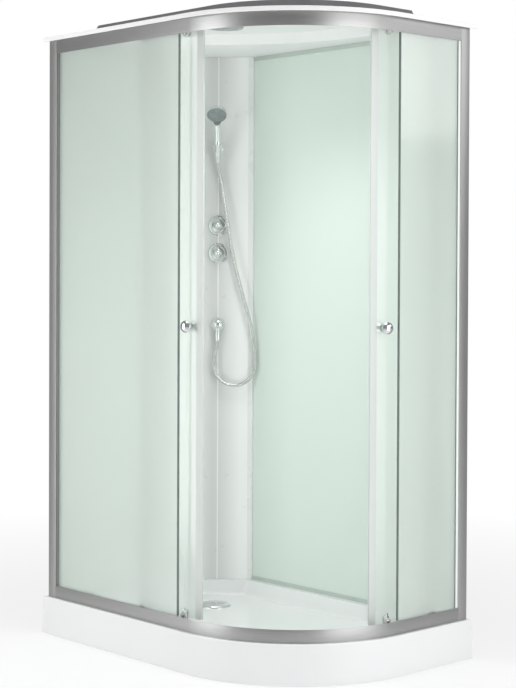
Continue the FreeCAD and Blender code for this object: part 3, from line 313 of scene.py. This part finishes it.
def satin_aluminium(name, upright):
    """Anodised extrusion with the fine lines of drawing along its length. On the level
    rails they spread the light up and down."""
    look = Look(name)
    stretch = (1, 1, 0.012) if upright else (0.02, 0.02, 1)
    lines = look.noise(DRAWN_LINES, stretch, detail=2)
    bands = look.noise(DRAWN_BANDS, stretch, detail=2)
    tone = look.multiply(look.blend(lines, (0.41, 0.41, 0.41), (0.46, 0.46, 0.46)),
                         look.blend(bands, (0.93, 0.93, 0.93), (1, 1, 1)))
    dull = look.spread(lines, 0.40, 0.46)
    skin = look.bump(lines, 0.05, FINE_BUMP)
    if upright:
        return look.finish(look.surface(tone, dull, skin, Metallic=1.0))
    along = look.add("ShaderNodeTangent", direction_type="RADIAL", axis="Z")
    return look.finish(look.surface(tone, dull, skin, Metallic=1.0, Anisotropic=0.45,
                                    Anisotropic_Rotation=0.25,
                                    Tangent=along.outputs["Tangent"]))


def chrome():
    look = Look("polished_chrome")
    tone = look.blend(look.noise(30), (0.72, 0.73, 0.74), (0.80, 0.81, 0.82))
    dull = look.spread(look.noise(55), 0.04, 0.09)
    skin = look.bump(look.noise(70), 0.02, 0.0005)
    return look.finish(look.surface(tone, dull, skin, Metallic=1.0))


GLASS_TINT = (0.885, 0.92, 0.895)
GLASS_CLOUD = 0.985
GLASS_HAZE = 0.30
GLASS_THROUGH = 0.88
GLASS_SHADE = (0.97, 0.985, 0.975, 1)


def frosted(name, coat):
    """Satin safety glass: light that comes through it is spread, so near things show
    through it softly and far ones hardly. Light for the room passes straight through."""
    look = Look(name)
    cloudy = tuple(part * GLASS_CLOUD for part in GLASS_TINT)
    tone = look.blend(look.noise(1.3, detail=1), cloudy, GLASS_TINT, 0.2, 0.8)
    grain = look.noise(420, detail=2)
    dull = look.spread(grain, GLASS_HAZE - 0.02, GLASS_HAZE + 0.02)
    body = look.surface(tone, dull, look.bump(grain, 0.03, FINE_BUMP), IOR=1.3,
                        Transmission_Weight=GLASS_THROUGH, Coat_Weight=coat,
                        Coat_Roughness=0.1)
    clear = look.add("ShaderNodeBsdfTransparent")
    look.put(GLASS_SHADE, clear.inputs["Color"])
    path = look.add("ShaderNodeLightPath")
    room_light = look.combine("MAXIMUM", path.outputs["Is Shadow Ray"],
                              path.outputs["Is Diffuse Ray"])
    return look.finish(look.mix_shaders(room_light, body, clear.outputs["BSDF"]))


def wall_glass():
    """Back-painted pale green glass."""
    look = Look("wall_panel_glass")
    tone = look.blend(look.noise(1.1, detail=1), (0.725, 0.806, 0.758),
                      (0.735, 0.814, 0.767), 0.1, 0.9)
    dull = look.spread(look.noise(6), 0.25, 0.28, 0.1, 0.9)
    return look.finish(look.surface(tone, dull, Coat_Weight=0.5, Coat_Roughness=0.12))


def plain(name, dark, light, dull, grain=80, depth=0.08, metal=0.0):
    """Moulded plastic, rubber, lacquer or bare metal, by its two tones."""
    look = Look(name)
    tone = look.blend(look.noise(grain * 0.2), dark, light)
    rough = look.spread(look.noise(grain), dull - 0.05, dull + 0.05)
    skin = look.bump(look.noise(grain * 3), depth, COARSE_BUMP) if depth else None
    return look.finish(look.surface(tone, rough, skin, Metallic=metal))


# Millimetres across the column from its left edge, and how light the lacquer is painted there:
# painted shade in grey either side of the middle bead, and painted light that turns it white
# toward the right edge.
COLUMN_PAINTED_SHADE = (
    (30, 0.84), (72, 0.71), (90.5, 0.71), (91.5, 0.96), (94.5, 0.96), (95.5, 0.71),
    (138, 0.84), (174, 0.95), (205, 0.98),
)
COLUMN_LEFT_EDGE = -0.1
COLUMN_SPAN = 0.24
LACQUER_TINT = (1, 1.01, 1.005)


def column_lacquer_painted_shade():
    """White lacquer of the column, with painted shade in grey beside its middle bead and painted
    light that whitens it toward the right edge.
    """
    look = Look("column_lacquer_painted_shade")
    start = COLUMN_MIDDLE.dot(COLUMN_ALONG) + COLUMN_LEFT_EDGE
    along = look.dot(look.place, COLUMN_ALONG)
    across = look.spread(along, 0.0, 1.0, start, start + COLUMN_SPAN)
    # This ramp is painted shade and painted light across the column, laid over the lacquer's own
    # white.
    painted_shade = look.ramp(across, [(place / 1000 / COLUMN_SPAN,
                                tuple(grey * part for part in LACQUER_TINT))
                               for place, grey in COLUMN_PAINTED_SHADE])
    grain = look.blend(look.noise(4), (0.985, 0.985, 0.985), (1, 1, 1), 0.2, 0.8)
    dull = look.spread(look.noise(20), 0.27, 0.33)
    return look.finish(look.surface(look.multiply(painted_shade, grain), dull))


def seal_plastic():
    look = Look("milky_seal")
    tone = look.blend(look.noise(12, UPRIGHT_GRAIN), (0.74, 0.78, 0.76), (0.83, 0.86, 0.84))
    dull = look.spread(look.noise(60, UPRIGHT_GRAIN), 0.28, 0.4)
    skin = look.bump(look.noise(300, UPRIGHT_GRAIN), 0.1, COARSE_BUMP)
    return look.finish(look.surface(tone, dull, skin, Transmission_Weight=0.25, IOR=1.4))


# Half the width of the band in the middle of the cabin where the painted shadow grey turns to
# white.
GASKET_SHADOW_CHANGE = 0.1


def gasket_painted_shadow():
    """Gasket painted dark grey on the left side of the cabin as painted shadow beside the wall
    profile, and milky white on the right side.
    """
    look = Look("glazing_gasket")
    side = look.spread(look.part(look.place, "X"), 0.0, 1.0, -GASKET_SHADOW_CHANGE, GASKET_SHADOW_CHANGE)
    grain = look.noise(12, UPRIGHT_GRAIN)
    # The dark grey on the left is painted shadow, not the gasket's own colour.
    tone = look.mix(side,
                    look.blend(grain, (0.16, 0.18, 0.17), (0.19, 0.21, 0.20)),
                    look.blend(grain, (0.80, 0.84, 0.82), (0.86, 0.89, 0.87)))
    dull = look.spread(look.noise(60, UPRIGHT_GRAIN), 0.35, 0.45)
    skin = look.bump(look.noise(300, UPRIGHT_GRAIN), 0.1, COARSE_BUMP)
    return look.finish(look.surface(tone, dull, skin))


# Blender's wave texture has about 3.2 bands a metre for each 1 of its scale.
HOSE_WAVE_SCALE = 75
HOSE_RIB_DEPTH = 0.0012


def hose_metal():
    """Bright spiral-wound hose: fine turns round it show as bumped ribs, with painted shade
    darkening the grooves between them.
    """
    look = Look("spiral_hose")
    wave = look.add("ShaderNodeTexWave", wave_type="BANDS", bands_direction="Z")
    look.put(HOSE_WAVE_SCALE, wave.inputs["Scale"])
    look.put(0.2, wave.inputs["Distortion"])
    look.put(look.place, wave.inputs["Vector"])
    ribs_and_groove_shade = wave.outputs["Fac"]
    # The darker tone in the grooves is painted shade. The bump gives the ribs their shape.
    tone = look.blend(ribs_and_groove_shade, (0.50, 0.50, 0.49), (0.80, 0.80, 0.79), 0.1, 0.6)
    dull = look.spread(look.noise(120), 0.18, 0.28)
    skin = look.bump(ribs_and_groove_shade, 0.5, HOSE_RIB_DEPTH)
    return look.finish(look.surface(tone, dull, skin, Metallic=1.0))


LOOKS = {
    "acrylic": acrylic(),
    "frame_steel": plain("zinc_coated_tube", (0.42, 0.43, 0.44), (0.55, 0.56, 0.57), 0.4,
                         metal=0.9),
    "foot_steel": plain("zinc_plated_stud", (0.5, 0.5, 0.5), (0.62, 0.62, 0.62), 0.3,
                        metal=1.0),
    "waste_plastic": plain("grey_moulding", (0.40, 0.42, 0.43), (0.50, 0.52, 0.53), 0.4),
    "chrome": chrome(),
    "wall_glass": wall_glass(),
    "clear_glass": frosted("frosted_glass", coat=1.0),
    "column_white": plain("white_lacquer", (0.845, 0.855, 0.85), (0.865, 0.875, 0.87), 0.3,
                          grain=20, depth=0),
    "channel_metal": plain("grey_green_lacquer", (0.50, 0.57, 0.53), (0.55, 0.62, 0.58),
                           0.35, grain=40, depth=0.02),
    "satin_aluminium": satin_aluminium("satin_aluminium_rail", upright=False),
    "seal_plastic": seal_plastic(),
    "edge_trim": plain("dark_edge_strip", (0.13, 0.16, 0.145), (0.17, 0.20, 0.185), 0.45,
                       grain=40, depth=0.03),
    "stop_rubber": plain("black_rubber", (0.02, 0.02, 0.02), (0.04, 0.04, 0.04), 0.7),
    "screw_steel": plain("screw_steel", (0.55, 0.55, 0.55), (0.7, 0.7, 0.7), 0.25,
                         metal=1.0),
    "mixer_brass": plain("cast_brass", (0.50, 0.36, 0.14), (0.62, 0.46, 0.2), 0.4,
                         metal=1.0),
    "pipe_steel": plain("bent_steel_pipe", (0.55, 0.56, 0.57), (0.66, 0.67, 0.68), 0.25,
                        metal=1.0),
    "nozzle_grey": plain("nozzle_rubber", (0.22, 0.26, 0.26), (0.32, 0.36, 0.36), 0.45,
                         grain=300),
    "hose_metal": hose_metal(),
    "wheel_plastic": plain("hard_white_plastic", (0.62, 0.62, 0.60), (0.72, 0.72, 0.70),
                           0.35),
}
upright_aluminium = satin_aluminium("satin_aluminium_upright", upright=True)
# Nodes that look unlike the others in their slot.
OWN_LOOKS = {
    "roof": roof_acrylic(),
    "left_wall_profile": upright_aluminium,
    "right_wall_profile": upright_aluminium,
    "glazing_gaskets": gasket_painted_shadow(),
    "right_door_glass": frosted("frosted_door_glass", coat=0.2),
    "column_panel": column_lacquer_painted_shade(),
}
for entry in frame["record"]["subparts"]:
    item = nodes[entry["node"]]
    if not item.material_slots:
        item.data.materials.append(None)
    for material_slot in item.material_slots:
        material_slot.material = OWN_LOOKS.get(entry["node"], LOOKS[entry["material_slot"]])
hose.data.materials.append(LOOKS["hose_metal"])

# ------------------------------------------------------------------------------- floor

FLOOR_WIDTH = 40
FLOOR_DROP = 0.0005
FLOOR_SEEN_IN_METAL = 0.15
# How white the seen floor is, near the enclosure and far from it, and where it changes.
FLOOR_GLOW_NEAR, FLOOR_GLOW_FAR = 0.7, 1.0
FLOOR_NEAR, FLOOR_FAR = 0.9, 3.0


def pale_floor():
    """Pale paper that turns into the white backdrop with the distance from the
    enclosure. It is white to the eye only: it lights the object as paper does."""
    look = Look("pale_floor")
    paper = look.surface(look.blend(look.noise(0.6), (0.84, 0.84, 0.84), (0.88, 0.88, 0.88)), 0.7)
    glow = look.add("ShaderNodeEmission")
    look.put((1, 1, 1, 1), glow.inputs["Color"])
    path = look.add("ShaderNodeLightPath")
    mirrored = look.combine("MULTIPLY", path.outputs["Is Glossy Ray"], FLOOR_SEEN_IN_METAL)
    seen = look.combine("MAXIMUM", path.outputs["Is Camera Ray"], mirrored)
    seen = look.combine("MAXIMUM", seen, path.outputs["Is Transmission Ray"])
    white = look.spread(look.length(look.place), FLOOR_GLOW_NEAR, FLOOR_GLOW_FAR,
                        FLOOR_NEAR, FLOOR_FAR)
    share = look.combine("MULTIPLY", seen, white)
    return look.finish(look.mix_shaders(share, paper, glow.outputs["Emission"]))


bpy.ops.mesh.primitive_plane_add(size=FLOOR_WIDTH, location=(0, 0, -FLOOR_DROP))
floor = bpy.context.object
floor.name = "floor"
floor.data.materials.append(pale_floor())

# ---------------------------------------------------------------------------- lighting

# The way from the doors to the corner of the walls, behind which the backdrop stands.
BACKDROP_WAY = (-0.733, 0.680, 0)
ROOM_GREY = (0.29, 0.29, 0.29)
WHITE = (1, 1, 1)

world = bpy.context.scene.world or bpy.data.worlds.new("studio")
bpy.context.scene.world = world
world.use_nodes = True
sky = Graph(world.node_tree)
# White backdrop behind the enclosure, dimmer room at its sides and in front of it.
toward = sky.dot(sky.add("ShaderNodeTexCoord").outputs["Generated"], BACKDROP_WAY)
behind = sky.spread(toward, 0.0, 1.0, start=-1.0, end=1.0)
background = sky.add("ShaderNodeBackground")
sky.put(sky.blend(behind, ROOM_GREY, WHITE, 0.68, 0.96), background.inputs["Color"])
sky.put(1.0, background.inputs["Strength"])
sky.put(background.outputs["Background"], sky.add("ShaderNodeOutputWorld").inputs["Surface"])

# Name, place, what it faces, its width and height, watts and spread in degrees.
LAMPS = (
    ("softbox_left", (-0.68, -2.17, 1.2), (0.2, -0.37, 1.1), (1.2, 2.5), 30, 180),
    ("softbox_right", (2.55, 0.0, 1.2), (0.56, -0.13, 1.1), (1.7, 2.5), 36, 180),
    ("softbox_top", (0.6, -0.6, 4.4), (0, 0, 1.0), (3.0, 3.0), 44, 180),
    ("softbox_side", (2.1, 1.6, 2.3), (0.6, 0.1, 1.9), (1.1, 1.0), 6, 180),
    ("cabin_fill", (0.1, -0.05, 1.99), (0.1, -0.05, 0), (0.5, 0.3), 2.4, 100),
)
for name, place, target, (width, height), watts, spread in LAMPS:
    lamp_data = bpy.data.lights.new(name, "AREA")
    lamp_data.shape = "RECTANGLE"
    lamp_data.size = width
    lamp_data.size_y = height
    lamp_data.energy = watts
    lamp_data.spread = math.radians(spread)
    lamp = bpy.data.objects.new(name, lamp_data)
    lamp.location = place
    lamp.rotation_euler = (Vector(target) - Vector(place)).to_track_quat("-Z", "Y").to_euler()
    lamp.visible_camera = False
    bpy.context.scene.collection.objects.link(lamp)

bpy.context.scene.view_settings.view_transform = "Standard"
